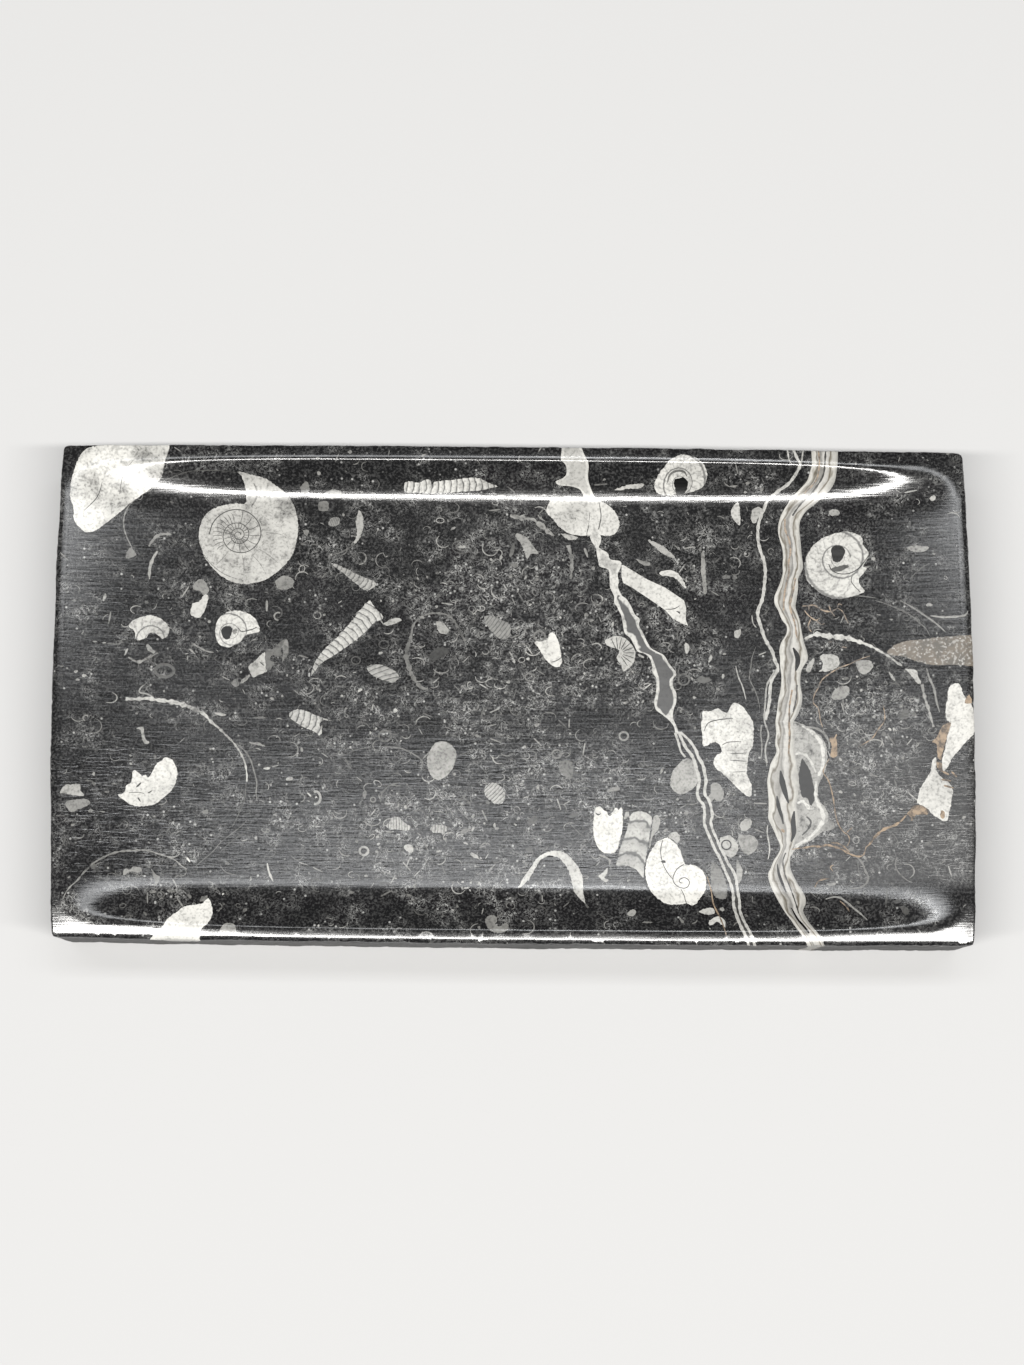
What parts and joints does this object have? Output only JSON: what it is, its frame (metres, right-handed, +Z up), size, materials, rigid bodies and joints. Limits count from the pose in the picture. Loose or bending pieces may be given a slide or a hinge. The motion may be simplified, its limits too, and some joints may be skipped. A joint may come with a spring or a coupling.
{
  "type": "polished fossil limestone tray",
  "caption": "Shallow rectangular tray ground from one slab of black fossil limestone, with a broad dish between two long rims and a flat underside.",
  "frame": {"origin": "middle of the flat underside", "axes": "+X along the tray's length, +Y across it, +Z up out of the dish"},
  "size_m": [0.1668, 0.092, 0.018],
  "materials": {
    "polished_limestone": "black limestone with white fossils, ground and polished on top, satin in the dish, sawn on the sides"
  },
  "bodies": {
    "root": {"stone_tray": "polished_limestone"}
  },
  "joints": []
}
